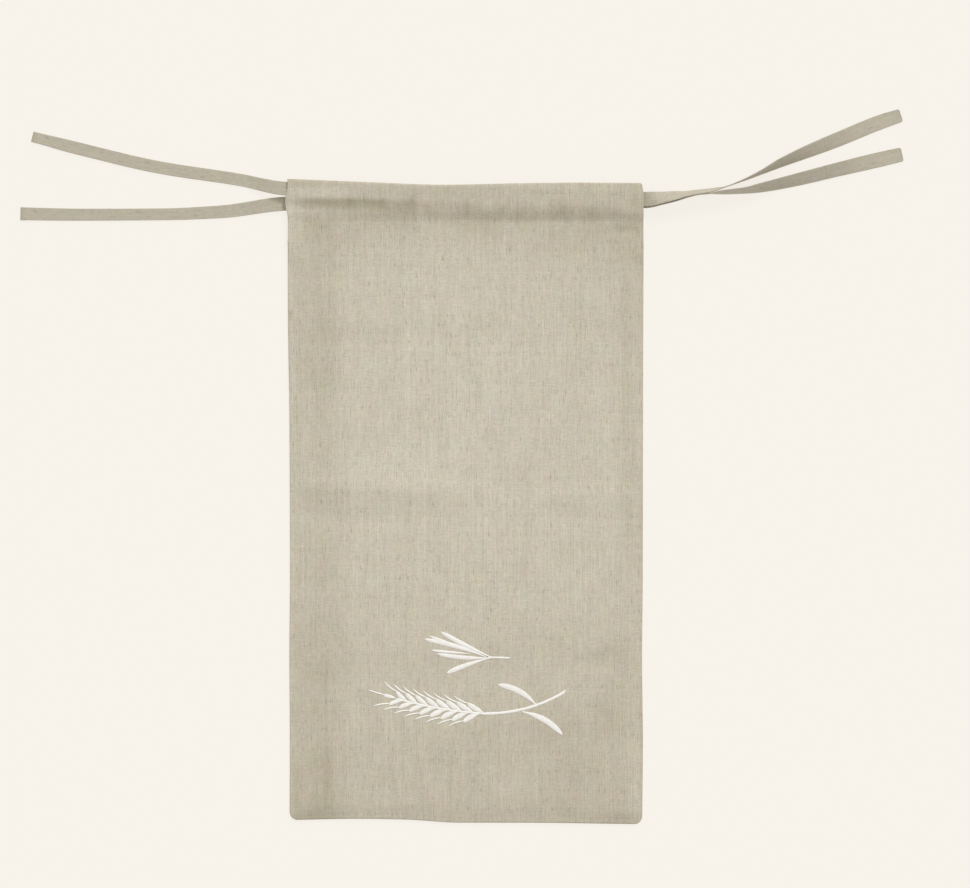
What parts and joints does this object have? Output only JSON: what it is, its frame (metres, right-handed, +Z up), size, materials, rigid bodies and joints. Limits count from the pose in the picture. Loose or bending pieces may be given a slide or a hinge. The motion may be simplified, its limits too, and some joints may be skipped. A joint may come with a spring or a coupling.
{
  "type": "linen bread bag",
  "caption": "Tall flat drawstring bag of plain linen for loaves, lying empty, with turned-in casings at its mouth and flat linen ties drawn out at both sides.",
  "frame": {"origin": "middle of the back panel's flat underside, on the surface that the bag lies on", "axes": "+Z up out of the front panel, +Y towards the mouth, +X to the right as the front is seen"},
  "size_m": [0.7465, 0.6052, 0.0128],
  "materials": {
    "panel_linen": "matt slubby plain-weave linen, natural grey-beige",
    "tie_linen": "matt linen strip, folded, pressed and edge-stitched",
    "embroidery_thread": "soft-sheen ivory satin stitch"
  },
  "bodies": {
    "root": {"front_panel": "panel_linen", "back_panel": "panel_linen", "front_tie": "tie_linen", "back_tie": "tie_linen"}
  },
  "joints": []
}
